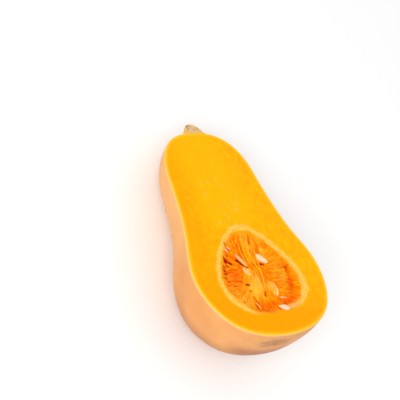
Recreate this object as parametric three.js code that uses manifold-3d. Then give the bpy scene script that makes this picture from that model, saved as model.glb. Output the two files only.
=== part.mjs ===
// Half a butternut squash, cut lengthways by a knife and lying on its back with the cut face up.
//
// It is drawn in the cut frame, in millimetres: X runs across the cut face, Y from the blossom
// end to the stem, and Z out of the cut face, which is the plane Z = 0. The group at the end
// tips that frame until bulb and neck both rest on the surface, with +Z up.
//
// The pieces: the half fruit, whose rind and flesh grew as one; the woody stem stub; and the
// seed bed, which is the stringy pulp in the cavity with the seeds that sit in it.

import * as THREE from "three";
import { mergeVertices } from "three/addons/utils/BufferGeometryUtils.js";
import Module from "manifold-3d";

const wasm = await Module();
wasm.setup();

// The fruit
const bodyLength = 205; // blossom end to the foot of the stem
const fullness = [103.6, 94.3, 80.9, 68.3, 52.8, 50.2, 59.0, 69.2, 76.1]; // blossom to stem end
const axisDepth = { blossom: 10.8, stem: 1.0 }; // how far under the cut the growth axis lies
const axisBow = 2.1; // the fruit's sideways bend at both ends
const cheeks = [ // one side of the bulb is fuller
  { swell: 3.2, y: 47, reach: 30, angle: 219, narrowness: 3 },
  { swell: 3.4, y: 86, reach: 19, angle: 226, narrowness: 5 },
];
const longLobes = { count: 5, swell: 0.45, turn: 23 }; // faint ribs from end to end
const blossomScar = { x: -5.9, z: -12.4, radius: 7, dent: 1.3 };
const bodyFacets = { around: 56, along: 36 };

// The seed cavity, round about the growth axis
const cavity = { start: 19.5, end: 98.5, squareness: 0.8 };
const cavityFullness = [44.5, 43.5, 42.2, 41.3, 38.8, 33.6, 31.2, 35.0, 52.0]; // blossom to stem end
const cavityFacets = { around: 36, along: 20 };
const fitGap = 0.35; // between touching pieces

// The stem stub
const stem = { sunk: 4, height: 9.2, radii: [12.4, 10.9, 9.6, 8.5, 7.0, 5.3, 3.6], x: 3.3, leanX: -1.2 };
const stemRidges = { count: 5, depth: 1.3 };
const stemFacets = { around: 26, along: 9 };

// The seed bed: its pulp stands in raised masses, with hollows and open crevices between them
const bed = { edge: 0.6, depth: 2.9, edgeWidth: 3.4, squares: 38 };
const masses = [ // place, reach across and along, turn in degrees, rise
  { x: 17.0, y: 86.0, across: 10.0, along: 8.0, turn: -23, rise: 1.8 }, // the smooth lobe
  { x: 19.2, y: 52.5, across: 9.0, along: 15.0, turn: -18, rise: 2.0 }, // the comb
  { x: -8.6, y: 46.4, across: 6.5, along: 10.5, turn: -34, rise: 1.9 },
  { x: -9.5, y: 60.6, across: 4.5, along: 5.5, turn: -30, rise: 1.0 },
  { x: -27.0, y: 38.0, across: 7.0, along: 8.0, turn: 35, rise: 1.3 },
  { x: 0.0, y: 80.0, across: 5.5, along: 20.0, turn: 6, rise: 1.2 },
  { x: 35.5, y: 50.0, across: 3.6, along: 16.0, turn: 4, rise: 1.3 },
  { x: -10.0, y: 88.0, across: 7.0, along: 9.0, turn: 15, rise: 1.0 },
  { x: -20.8, y: 60.4, across: 7.0, along: 7.5, turn: 0, rise: -2.2 },
  { x: 7.8, y: 54.3, across: 3.5, along: 4.0, turn: 0, rise: -1.4 },
  { x: -4.0, y: 28.5, across: 11.0, along: 5.0, turn: 5, rise: -1.4 },
  { x: 18.4, y: 31.1, across: 6.5, along: 3.0, turn: 0, rise: -1.3 },
];
const crevices = [ // half width, depth, and the way they run
  { width: 2.4, depth: 4.6, path: [[29.3, 70.5], [31.2, 60], [31.1, 53.5], [29.1, 46.5], [25, 35]] },
  { width: 2.0, depth: 4.6, path: [[-22, 79], [-25.5, 75.5], [-29, 66.5], [-31.3, 57], [-31.5, 52]] },
  { width: 1.4, depth: 4.4, path: [[-14.4, 72.4], [-8.6, 65.6]] },
  { width: 1.5, depth: 3.6, path: [[6.8, 66.4], [11.0, 65.2]] },
];
const threads = { count: 26, steps: 3 };
const leftThreads = { count: 14, from: 142, to: 190 };
// The strands that carried the seeds, from the crown of the cavity down: radius and the way they run
const seedStrands = [
  { radius: 1.2, path: [[6.9, 99.5, -1.2], [3.2, 89.6, -1.1], [-1.0, 76, -1.1], [1.7, 62, -1.2], [0.6, 48, -1.6], [-1.6, 41, -3]] },
  { radius: 1.05, path: [[1.0, 100, -1.4], [-1.8, 89.9, -1.2], [-4.8, 76, -1.2], [-3.8, 66.6, -1.5], [0.6, 56.2, -2.4]] },
  { radius: 0.9, path: [[-4, 98.5, -1.6], [-6.6, 87, -1.6], [-7.3, 76, -1.8], [-6, 66, -2.8]] },
  { radius: 0.9, path: [[7.5, 98, -1.6], [5.6, 80, -1.8], [4.6, 70, -2.0], [3.4, 60, -1.9], [5, 51, -2.8]] },
  { radius: 0.9, path: [[-3.4, 56, -1.6], [-6.6, 52, -1.2], [-10, 46, -1.2], [-11.4, 38, -2.8]] },
];
const strandSides = 5;
const seedSize = { length: 15, width: 8.4, thickness: 2.9 };
const seedFacets = { around: 10, along: 6 };

// Resting on its back
const restTilt = THREE.MathUtils.degToRad(13.4); // the neck drops until its shoulder touches down
const restHeight = 83.95; // from the cut frame's origin down to the lowest skin
const flatDepth = 0.8; // how far the resting spots are pressed flat

const degree = Math.PI / 180;

// A smooth curve through evenly spaced values, for share 0 to 1.
function smoothAt(values, share) {
  const last = values.length - 1;
  const i = Math.min(Math.floor(share * last), last - 1);
  const w = share * last - i;
  const before = values[Math.max(i - 1, 0)];
  const after = values[Math.min(i + 2, last)];
  const slopeA = (values[i + 1] - before) / 2;
  const slopeB = (after - values[i]) / 2;
  const step = values[i + 1] - values[i];
  return values[i] + w * (slopeA + w * (3 * step - 2 * slopeA - slopeB + w * (slopeA + slopeB - 2 * step)));
}

// A number from 0 to 1 at each call, the same row of numbers in every run.
function seededRandom(seed) {
  let state = seed;
  return () => {
    state = (Math.imul(state, 1664525) + 1013904223) >>> 0;
    return state / 4294967296;
  };
}

function axisAt(y) {
  const share = y / bodyLength;
  const fromMiddle = 2 * share - 1;
  const depth = axisDepth.blossom + (axisDepth.stem - axisDepth.blossom) * share;
  return { x: axisBow * fromMiddle * fromMiddle, z: -depth };
}

// The closed surface that a profile round Y gives: radius and station for each share of the way.
function turned(profileAt, facets) {
  const points = [];
  for (let i = 0; i <= facets.along; i++) {
    const { radius, y } = profileAt(i / facets.along);
    const onAxis = i === 0 || i === facets.along;
    points.push(new THREE.Vector2(onAxis ? 0 : radius, y));
  }
  return new THREE.LatheGeometry(points, facets.around);
}

function moveVertices(geometry, move) {
  const position = geometry.getAttribute("position");
  const point = new THREE.Vector3();
  for (let i = 0; i < position.count; i++) {
    point.fromBufferAttribute(position, i);
    move(point);
    position.setXYZ(i, point.x, point.y, point.z);
  }
  return geometry;
}

// A closed mesh as a solid that can be cut and joined, and back again.
function solidOf(geometry) {
  const bare = new THREE.BufferGeometry();
  bare.setAttribute("position", geometry.getAttribute("position"));
  bare.setIndex(geometry.getIndex());
  const merged = mergeVertices(bare, 1e-3);
  return new wasm.Manifold(
    new wasm.Mesh({
      numProp: 3,
      vertProperties: new Float32Array(merged.getAttribute("position").array),
      triVerts: new Uint32Array(merged.getIndex().array),
    }),
  );
}

function geometryOf(solid) {
  const mesh = solid.getMesh();
  const geometry = new THREE.BufferGeometry();
  geometry.setAttribute("position", new THREE.BufferAttribute(mesh.vertProperties, 3));
  geometry.setIndex(new THREE.BufferAttribute(mesh.triVerts, 1));
  geometry.computeVertexNormals();
  return geometry;
}

function largestBody(solid) {
  return solid.decompose().sort((a, b) => b.volume() - a.volume())[0];
}

// Everything on the knife's far side of the cut.
function aboveCut(height = 0) {
  const size = 2 * bodyLength;
  const block = new THREE.BoxGeometry(size, 2 * size, size);
  block.translate(0, bodyLength / 2, height + size / 2);
  return solidOf(block);
}

function bell(distance, width) {
  return Math.exp(-((distance / width) ** 2));
}

function cheekSwell(cheek, y, angle) {
  const facing = Math.max(Math.cos(angle - cheek.angle * degree), 0);
  return cheek.swell * facing ** cheek.narrowness * bell(y - cheek.y, cheek.reach);
}

function wholeFruit() {
  const skin = turned((share) => {
    const turn = Math.PI * share;
    return {
      radius: Math.sin(turn) * smoothAt(fullness, share),
      y: (bodyLength * (1 - Math.cos(turn))) / 2,
    };
  }, bodyFacets);
  moveVertices(skin, (p) => {
    const radius = Math.hypot(p.x, p.z);
    const angle = Math.atan2(p.z, p.x);
    const middle = Math.min(radius / 40, 1);
    const lobe = longLobes.swell * Math.cos(longLobes.count * angle - longLobes.turn * degree);
    const swell = middle * (lobe + cheeks.reduce((sum, cheek) => sum + cheekSwell(cheek, p.y, angle), 0));
    const axis = axisAt(p.y);
    const fromScar = Math.hypot(axis.x + p.x - blossomScar.x, axis.z + p.z - blossomScar.z);
    const scarDent = blossomScar.dent * bell(fromScar, blossomScar.radius);
    const nearBlossom = p.y < bodyLength / 2;
    p.x = axis.x + p.x * (1 + swell / Math.max(radius, 1));
    p.z = axis.z + p.z * (1 + swell / Math.max(radius, 1));
    p.y += nearBlossom ? scarDent : 0;
  });
  return solidOf(skin);
}

// The cavity's egg, made smaller all round by a gap where a piece has to fit in it.
function cavityEgg(gap = 0) {
  const half = (cavity.end - cavity.start) / 2;
  const middle = cavity.start + half;
  const egg = turned((share) => {
    const turn = Math.PI * share;
    return {
      radius: (smoothAt(cavityFullness, share) - gap) * Math.sin(turn) ** cavity.squareness,
      y: middle - (half - gap) * Math.cos(turn),
    };
  }, cavityFacets);
  moveVertices(egg, (p) => {
    const axis = axisAt(p.y);
    p.x += axis.x;
    p.z += axis.z;
  });
  return solidOf(egg);
}

// The surface that the fruit rests on, as a block that reaches up into the lowest skin.
function restingSurface() {
  const size = 3 * bodyLength;
  const block = new THREE.BoxGeometry(size, size, size);
  block.translate(0, 0, -restHeight + flatDepth - size / 2);
  block.rotateX(restTilt);
  return solidOf(block);
}

function squashHalf(fruit) {
  return fruit.subtract(aboveCut()).subtract(cavityEgg()).subtract(restingSurface());
}

// A corky stub, widest at its foot and ridged, with a chipped top, cut through by the same knife.
function stemStub(fruit) {
  const foot = bodyLength - stem.sunk;
  const height = stem.sunk + stem.height;
  const stub = turned((share) => {
    const side = Math.min(Math.max((share - 0.1) / 0.8, 0), 1);
    return { radius: smoothAt(stem.radii, side), y: foot + height * side };
  }, stemFacets);
  moveVertices(stub, (p) => {
    const angle = Math.atan2(p.z, p.x);
    const rise = (p.y - foot) / height;
    const ridge = stemRidges.depth * (Math.abs(Math.cos((stemRidges.count / 2) * angle + 0.4)) - 0.6);
    const radius = Math.hypot(p.x, p.z);
    const grown = radius > 0 ? (radius + ridge) / radius : 1;
    const chipped = rise > 0.99 ? 0.11 * radius * Math.sin(2 * angle + 1) : 0;
    p.x = p.x * grown + stem.x + stem.leanX * rise;
    p.z = p.z * grown - axisDepth.stem;
    p.y += chipped;
  });
  const skinAndGap = fruit.translate([0, fitGap, 0]);
  return largestBody(solidOf(stub).subtract(skinAndGap).subtract(aboveCut()));
}

// How far the cavity's rim lies from a place on the cut face, measured out from the middle.
function toRim(x, y) {
  const middle = (cavity.start + cavity.end) / 2;
  const out = Math.hypot(x, y - middle);
  return rimReach(Math.atan2(y - middle, x)) - out;
}

// The way from the middle of the cavity to its rim at an angle: steps until it meets the wall.
function rimReach(angle) {
  const half = (cavity.end - cavity.start) / 2;
  const middle = cavity.start + half;
  const isInside = (reach) => {
    const across = reach * Math.sin(angle) / half;
    if (Math.abs(across) >= 1) return false;
    const turn = Math.acos(-across);
    const axis = axisAt(middle + across * half);
    const radius = smoothAt(cavityFullness, turn / Math.PI) * Math.sin(turn) ** cavity.squareness;
    return Math.hypot(reach * Math.cos(angle) - axis.x, axis.z) < radius;
  };
  let reach = 20;
  while (isInside(reach)) reach += 0.25;
  return reach;
}

function distanceToPath(x, y, path) {
  const place = new THREE.Vector3(x, y, 0);
  const nearest = new THREE.Vector3();
  let least = Infinity;
  for (let i = 1; i < path.length; i++) {
    const stretch = new THREE.Line3(new THREE.Vector3(...path[i - 1], 0), new THREE.Vector3(...path[i], 0));
    stretch.closestPointToPoint(place, true, nearest);
    least = Math.min(least, nearest.distanceTo(place));
  }
  return least;
}

function massAt(mass, x, y) {
  const c = Math.cos(mass.turn * degree);
  const s = Math.sin(mass.turn * degree);
  const across = ((x - mass.x) * c + (y - mass.y) * s) / mass.across;
  const along = ((y - mass.y) * c - (x - mass.x) * s) / mass.along;
  return mass.rise * Math.min(1.35 * Math.exp(-(across ** 2) - along ** 2), 1);
}

// How high the pulp stands at a place on the cut face, which is at height 0.
function bedTop(x, y) {
  const nearRim = bell(Math.max(toRim(x, y), 0), bed.edgeWidth);
  const level = -bed.edge - (bed.depth - bed.edge) * (1 - nearRim);
  const raised = masses.reduce((sum, mass) => sum + massAt(mass, x, y), 0);
  const opened = crevices.reduce(
    (sum, crevice) => sum + crevice.depth * bell(distanceToPath(x, y, crevice.path), crevice.width),
    0,
  );
  return level + raised - opened;
}

function bedBlock() {
  const width = 82;
  const length = cavity.end - cavity.start + 2;
  const height = 60;
  const block = new THREE.BoxGeometry(width, length, height, bed.squares, bed.squares, 1);
  block.translate(0, (cavity.start + cavity.end) / 2, -height / 2);
  moveVertices(block, (p) => {
    if (p.z > -1) p.z = bedTop(p.x, p.y);
  });
  return solidOf(block);
}

// A fibre or strand: a thin tube along a curve.
function fibre(extrudePath, radius, steps) {
  const section = new THREE.Shape();
  for (let i = 0; i < strandSides; i++) {
    const angle = (2 * Math.PI * i) / strandSides;
    section[i ? "lineTo" : "moveTo"](radius * Math.cos(angle), radius * Math.sin(angle));
  }
  return solidOf(new THREE.ExtrudeGeometry(section, { steps, bevelEnabled: false, extrudePath }));
}

function onWall(angle, inset, z) {
  const middle = (cavity.start + cavity.end) / 2;
  const reach = rimReach(angle) - inset;
  return new THREE.Vector3(reach * Math.cos(angle), middle + reach * Math.sin(angle), z);
}

// A short thread from the cavity wall to the pulp, with both ends sunk in.
function rimThread(angle, random) {
  const outer = onWall(angle, -2, -2.2);
  const over = onWall(angle, 5, -1.2 - 0.8 * random());
  const inner = onWall(angle + 0.14 * (random() - 0.5), 10 + 3 * random(), -4.2);
  return fibre(new THREE.QuadraticBezierCurve3(outer, over, inner), 0.6 + 0.3 * random(), threads.steps);
}

// Threads all round the rim, and closer together on the left, where the pulp has drawn back.
function rimThreads(random) {
  const made = [];
  for (let i = 0; i < threads.count; i++) {
    made.push(rimThread((2 * Math.PI * (i + 0.7 * random())) / threads.count, random));
  }
  for (let i = 0; i < leftThreads.count; i++) {
    const share = (i + 0.6 * random()) / leftThreads.count;
    made.push(rimThread((leftThreads.from + (leftThreads.to - leftThreads.from) * share) * degree, random));
  }
  return made;
}

function strandAt({ radius, path }) {
  const curve = new THREE.CatmullRomCurve3(path.map((spot) => new THREE.Vector3(...spot)));
  return fibre(curve, radius, 2 * path.length);
}

// A flat teardrop, pointed at +Y, with the broad faces up and down.
function seedSolid() {
  const drop = new THREE.SphereGeometry(1, seedFacets.around, seedFacets.along);
  moveVertices(drop, (p) => {
    const taper = p.y > 0 ? 1 - 0.35 * p.y ** 2 : 1 - 0.06 * p.y ** 2;
    p.x *= (seedSize.width / 2) * taper;
    p.z *= (seedSize.thickness / 2) * taper;
    p.y *= seedSize.length / 2;
  });
  return drop;
}

// The seeds that show: place on the cut face, depth, the way the point lies, how far the seed is
// rolled on to its edge and tipped, in degrees, and its size beside a full one.
const seedPlaces = [
  { x: 9.9, y: 71.6, z: -1.5, heading: -124, roll: -7, tip: -6, size: 1 },
  { x: -8.0, y: 72.9, z: -3.4, heading: -153, roll: -44, tip: 0, size: 1 },
  { x: -9.5, y: 60.6, z: -2.2, heading: -150, roll: -8, tip: 3, size: 0.86 },
  { x: 9.2, y: 24.6, z: -1.9, heading: 70, roll: 20, tip: 0, size: 0.8 },
  { x: 18.6, y: 25.4, z: -2.6, heading: -77, roll: -38, tip: 0, size: 0.8 },
  { x: 14.0, y: 34.9, z: -3.4, heading: -102, roll: -51, tip: 0, size: 0.7 },
  { x: 6.6, y: 42.0, z: -2.6, heading: -166, roll: 28, tip: 0, size: 0.95 },
  { x: -18.5, y: 84.4, z: -2.9, heading: -151, roll: -43, tip: 0, size: 0.66 },
  { x: -12.0, y: 28.3, z: -2.8, heading: -166, roll: -46, tip: 0, size: 0.62 },
];

function seedAt(place) {
  const seed = seedSolid();
  seed.scale(place.size, place.size, place.size);
  seed.rotateY(place.roll * degree);
  seed.rotateX(place.tip * degree);
  seed.rotateZ(place.heading * degree);
  seed.translate(place.x, place.y, place.z);
  return solidOf(seed);
}

function seedBed() {
  const random = seededRandom(11);
  const pieces = [bedBlock(), ...rimThreads(random), ...seedStrands.map(strandAt), ...seedPlaces.map(seedAt)];
  const joined = pieces.reduce((whole, piece) => whole.add(piece));
  const inCavity = joined.intersect(cavityEgg(fitGap)).subtract(aboveCut(-0.2));
  return largestBody(inCavity);
}

function meshOf(name, solid, colour, roughness) {
  const material = new THREE.MeshStandardMaterial({ color: colour, roughness, metalness: 0 });
  const mesh = new THREE.Mesh(geometryOf(solid), material);
  mesh.name = name;
  return mesh;
}

const fruit = wholeFruit();
const cutFrame = new THREE.Group();
cutFrame.add(
  meshOf("squash_half", squashHalf(fruit), 0xffb01a, 0.5),
  meshOf("stem_stub", stemStub(fruit), 0xbfa77a, 0.9),
  meshOf("seed_bed", seedBed(), 0xff8c1a, 0.45),
);
cutFrame.rotation.x = -restTilt;

// The part's origin is on the surface, under the middle of its box.
const box = new THREE.Box3().setFromObject(cutFrame, true);
const middle = box.getCenter(new THREE.Vector3());
cutFrame.position.set(-middle.x, -middle.y, -box.min.z);

const part = new THREE.Group();
part.add(cutFrame);

export default part;
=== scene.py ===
import math
import random
import bpy
import numpy as np
from mathutils import Matrix, Vector, noise


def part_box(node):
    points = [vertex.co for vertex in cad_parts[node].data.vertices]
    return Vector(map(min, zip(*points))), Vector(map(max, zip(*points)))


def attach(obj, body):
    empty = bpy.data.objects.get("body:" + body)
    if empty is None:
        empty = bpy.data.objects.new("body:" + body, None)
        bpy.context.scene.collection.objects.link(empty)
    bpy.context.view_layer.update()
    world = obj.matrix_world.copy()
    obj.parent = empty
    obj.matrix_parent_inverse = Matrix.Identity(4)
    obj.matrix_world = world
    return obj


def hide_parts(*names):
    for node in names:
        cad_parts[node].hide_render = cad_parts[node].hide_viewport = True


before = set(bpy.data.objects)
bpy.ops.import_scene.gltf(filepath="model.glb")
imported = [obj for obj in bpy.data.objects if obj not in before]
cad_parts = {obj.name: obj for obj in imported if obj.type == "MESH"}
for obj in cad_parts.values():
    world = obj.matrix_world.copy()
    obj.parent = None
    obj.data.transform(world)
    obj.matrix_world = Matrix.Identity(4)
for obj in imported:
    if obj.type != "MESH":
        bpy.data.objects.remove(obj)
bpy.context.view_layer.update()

# Pieces are modelled in millimetres in the cut frame: X across the cut face, Y from the blossom
# end to the stem, Z out of the cut. layDown brings a finished piece to its place on the table.
restPose = {
    "tilt": 13.4,  # degrees, the neck hangs lower than the bulb
    "blossomEnd": (0.06384, 0.0050, 0.08315),  # metres, from the low corner of the half
}
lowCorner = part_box("squash_half")[0]
blossomEnd = lowCorner + Vector(restPose["blossomEnd"])
tilt = Matrix.Rotation(math.radians(-restPose["tilt"]), 4, "X")
cutToTable = Matrix.Translation(blossomEnd) @ tilt @ Matrix.Scale(0.001, 4)

photoView = {
    "place": (-472.2, -223.5, 535.6),
    "right": (0.8179, -0.3804, 0.4317),
    "up": (0.0637, 0.8055, 0.5892),
    "lens": 84.96,
}


def makeCamera():
    data = bpy.data.cameras.new("photoCamera")
    data.lens = photoView["lens"]
    data.sensor_width = 36.0
    camera = bpy.data.objects.new("photoCamera", data)
    bpy.context.scene.collection.objects.link(camera)
    right = (tilt.to_3x3() @ Vector(photoView["right"])).normalized()
    up = tilt.to_3x3() @ Vector(photoView["up"])
    back = right.cross(up).normalized()
    up = back.cross(right)
    turn = Matrix((right, up, back)).transposed().to_4x4()
    camera.matrix_world = Matrix.Translation(cutToTable @ Vector(photoView["place"])) @ turn
    bpy.context.scene.camera = camera


makeCamera()
print("camera placed")


# Small helpers for working as by hand

def activate(piece):
    bpy.ops.object.select_all(action="DESELECT")
    piece.select_set(True)
    bpy.context.view_layer.objects.active = piece


def named(name):
    piece = bpy.context.view_layer.objects.active
    piece.name = name
    piece.data.name = name
    activate(piece)
    return piece


def pick(piece, kind, wanted):
    # leaves the piece in edit mode with only the wanted faces, edges or points selected
    activate(piece)
    bpy.ops.object.mode_set(mode="EDIT")
    bpy.ops.mesh.select_mode(type=kind)
    bpy.ops.mesh.select_all(action="DESELECT")
    bpy.ops.object.mode_set(mode="OBJECT")
    mesh = piece.data
    for item in {"VERT": mesh.vertices, "EDGE": mesh.edges, "FACE": mesh.polygons}[kind]:
        item.select = wanted(item)
    bpy.ops.object.mode_set(mode="EDIT")


def leaveEdit():
    bpy.ops.object.mode_set(mode="OBJECT")


def points(piece):
    flat = np.empty(len(piece.data.vertices) * 3)
    piece.data.vertices.foreach_get("co", flat)
    return flat.reshape(-1, 3)


def setPoints(piece, placed):
    piece.data.vertices.foreach_set("co", np.asarray(placed, float).ravel())
    piece.data.update()


def paint(piece, name, values):
    layer = piece.data.attributes.get(name) or piece.data.attributes.new(name, "FLOAT", "POINT")
    layer.data.foreach_set("value", np.asarray(values, np.float32))


def layDown(piece):
    activate(piece)
    piece.matrix_world = cutToTable
    bpy.ops.object.transform_apply(location=True, rotation=True, scale=True)


def joinAll(pieces, name):
    bpy.ops.object.select_all(action="DESELECT")
    for piece in pieces:
        piece.select_set(True)
    bpy.context.view_layer.objects.active = pieces[0]
    bpy.ops.object.join()
    return named(name)


def smoothAt(values, share):
    last = len(values) - 1
    i = min(int(share * last), last - 1)
    w = share * last - i
    slopeA = (values[i + 1] - values[max(i - 1, 0)]) / 2
    slopeB = (values[min(i + 2, last)] - values[i]) / 2
    step = values[i + 1] - values[i]
    return values[i] + w * (slopeA + w * (3 * step - 2 * slopeA - slopeB + w * (slopeA + slopeB - 2 * step)))


# The fruit's own form, the same as the solid model's

fruit = {
    "length": 205.0,
    "fullness": (103.6, 94.3, 80.9, 68.3, 52.8, 50.2, 59.0, 69.2, 76.1),
    "axisDepth": (10.8, 1.0),
    "axisBow": 2.1,
    # one side of the bulb is fuller: swell, y, reach, angle and narrowness
    "cheeks": ((3.2, 47.0, 30.0, 219.0, 3), (3.4, 86.0, 19.0, 226.0, 5)),
    "lobes": {"count": 5, "swell": 0.45, "turn": 23.0},
    "scar": {"x": -5.9, "z": -12.4, "radius": 7.0, "dent": 1.3, "lip": 3.4, "lipRise": 0.45},
    "dents": ((31.0, 0.30), (11.0, 0.07)),  # pitch and depth of the skin's faint unevenness
    "segments": 264,
    "rings": 150,
    "rindEdge": 0.3,
    "rimRings": (0.45, 0.5, 0.6, 0.8, 1.1, 1.6, 2.2),
    "faceCuts": 22,
}
cavity = {
    "start": 19.5,
    "end": 98.5,
    "fullness": (44.5, 43.5, 42.2, 41.3, 38.8, 33.6, 31.2, 35.0, 52.0),
    "squareness": 0.8,
    "rimRound": 0.12,
    # the pale band round it: places on its middle line with half its width there
    "band": (
        (0.0, 102.9, 2.4), (8.0, 101.5, 2.4), (16.5, 95.0, 2.3), (24.6, 85.0, 2.3), (30.5, 75.0, 2.4),
        (36.7, 65.0, 2.6), (39.5, 55.0, 2.8), (40.0, 45.0, 2.9), (36.4, 35.0, 2.8), (29.0, 28.4, 2.4),
        (16.0, 21.0, 1.8), (0.0, 18.5, 1.5), (-13.0, 20.5, 1.6), (-24.0, 25.0, 2.0), (-34.9, 35.0, 2.1),
        (-39.7, 45.0, 2.0), (-40.2, 55.0, 2.1), (-37.4, 65.0, 2.0), (-32.2, 75.0, 1.7), (-24.9, 85.0, 1.7),
        (-14.1, 96.0, 2.0), (-8.0, 101.3, 2.3),
    ),
}
cavityMiddle = (cavity["start"] + cavity["end"]) / 2


def axisAt(y):
    share = y / fruit["length"]
    low, high = fruit["axisDepth"]
    return fruit["axisBow"] * (2 * share - 1) ** 2, -(low + (high - low) * share)


def skinPoint(unit):
    share = math.acos(max(-1.0, min(1.0, -unit.y))) / math.pi
    full = smoothAt(fruit["fullness"], share)
    y = fruit["length"] * (1 + unit.y) / 2
    radius = math.hypot(unit.x, unit.z) * full
    angle = math.atan2(unit.z, unit.x)
    lobes, scar = fruit["lobes"], fruit["scar"]
    swelling = lobes["swell"] * math.cos(lobes["count"] * angle - math.radians(lobes["turn"]))
    for rise, middle, reach, side, narrowness in fruit["cheeks"]:
        facing = max(math.cos(angle - math.radians(side)), 0.0)
        swelling += rise * facing ** narrowness * math.exp(-(((y - middle) / reach) ** 2))
    swell = min(radius / 40, 1.0) * swelling
    axisX, axisZ = axisAt(y)
    placed = Vector((axisX + unit.x * full, y, axisZ + unit.z * full))
    for pitch, depth in fruit["dents"]:
        swell += depth * noise.noise(placed / pitch)
    grown = 1 + swell / max(radius, 1.0)
    if y < fruit["length"] / 2:
        fromScar = math.hypot(placed.x - scar["x"], placed.z - scar["z"])
        lip = scar["lipRise"] * math.exp(-(((fromScar - scar["lip"]) / 1.1) ** 2))
        rough = 0.35 * math.exp(-((fromScar / 5) ** 2)) * noise.noise(placed / 1.3)
        placed.y += scar["dent"] * math.exp(-((fromScar / scar["radius"]) ** 2)) - lip + rough
    else:
        # a shallow seat for the stem
        placed.y -= 1.4 * math.exp(-(((placed.x - 3.0) ** 2 + (placed.z + 1.0) ** 2) / 150))
    placed.x = axisX + unit.x * full * grown
    placed.z = axisZ + unit.z * full * grown
    return placed


def eggPoint(unit, gap=0.0):
    around = max(math.hypot(unit.x, unit.z), 1e-9)
    share = math.acos(max(-1.0, min(1.0, -unit.y))) / math.pi
    radius = (smoothAt(cavity["fullness"], share) - gap) * around ** cavity["squareness"]
    y = cavityMiddle + ((cavity["end"] - cavity["start"]) / 2 - gap) * unit.y
    axisX, axisZ = axisAt(y)
    return Vector((axisX + unit.x / around * radius, y, axisZ + unit.z / around * radius))


def onUnit(azimuth, rise):
    return Vector((math.cos(azimuth) * math.cos(rise), math.sin(azimuth) * math.cos(rise), math.sin(rise)))


def riseAtHeight(pointOf, azimuth, height):
    low, high = math.radians(-20), math.radians(60)
    for _ in range(26):
        middle = (low + high) / 2
        low, high = (middle, high) if pointOf(onUnit(azimuth, middle)).z < height else (low, middle)
    return low


middleX, middleY = 0.4, 59.2
rimBearings = np.radians(np.arange(-184, 186, 2.0))


def rimReach():
    # how far the cavity's rim lies from the middle, all the way round
    spots = []
    for azimuth in rimBearings:
        spot = eggPoint(onUnit(azimuth, riseAtHeight(eggPoint, azimuth, 0.0)))
        outX, outY = spot.x - middleX, spot.y - middleY
        spots.append((math.atan2(outY, outX), math.hypot(outX, outY)))
    spots = sorted(set(spots))
    bearings = np.array([spot[0] for spot in spots])
    return bearings, np.array([spot[1] for spot in spots])


rimTurns, rimRadii = rimReach()


def toRimAt(x, y):
    # millimetres from the rim of the cavity, more than nothing inside
    bearing = np.arctan2(y - middleY, x - middleX)
    return np.interp(bearing, rimTurns, rimRadii, period=2 * math.pi) - np.hypot(x - middleX, y - middleY)


bandTurns = [math.atan2(y - middleY, x - middleX) for x, y, _ in cavity["band"]]
bandRadii = [math.hypot(x - middleX, y - middleY) for x, y, _ in cavity["band"]]
bandWidths = [width for _, _, width in cavity["band"]]


def fromBandAt(x, y):
    # how far out from the band's middle line, in half widths
    bearing = np.arctan2(y - middleY, x - middleX)
    order = np.argsort(bandTurns)
    turns, radii, widths = np.array(bandTurns)[order], np.array(bandRadii)[order], np.array(bandWidths)[order]
    radius = np.interp(bearing, turns, radii, period=2 * math.pi)
    width = np.interp(bearing, turns, widths, period=2 * math.pi)
    return (np.hypot(x - middleX, y - middleY) - radius) / width


def shapeLowerHalf(piece, pointOf, height=0.0):
    # bends a unit ball so that its middle ring lies at the height of the cut
    found = {}
    for vertex in piece.data.vertices:
        unit = vertex.co.normalized()
        azimuth = math.atan2(unit.y, unit.x)
        key = round(azimuth, 4)
        if key not in found:
            found[key] = riseAtHeight(pointOf, azimuth, height)
        rise = math.asin(max(-1.0, min(1.0, unit.z)))
        share = rise / (math.pi / 2)
        ring = found[key]
        bent = ring + share * (math.pi / 2 + (ring if share < 0 else -ring))
        vertex.co = pointOf(onUnit(azimuth, bent))


def halfBall(name, pointOf, segments, rings, filled):
    bpy.ops.mesh.primitive_uv_sphere_add(segments=segments, ring_count=rings, radius=1)
    piece = named(name)
    shapeLowerHalf(piece, pointOf)
    bpy.ops.object.mode_set(mode="EDIT")
    bpy.ops.mesh.select_all(action="SELECT")
    bpy.ops.mesh.bisect(
        plane_co=(0, 0, 0), plane_no=(0, 0, 1), use_fill=filled, clear_outer=True, threshold=0.01
    )
    leaveEdit()
    return piece


def distanceToLoop(places, loop):
    # from each place to the nearest point of a closed line, both flat on the cut
    best = np.full(len(places), 1e9)
    for a, b in zip(loop, np.roll(loop, -1, axis=0)):
        along = b - a
        share = np.clip((places - a) @ along / max(along @ along, 1e-12), 0, 1)
        best = np.minimum(best, np.linalg.norm(places - a - share[:, None] * along, axis=1))
    return best


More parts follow.
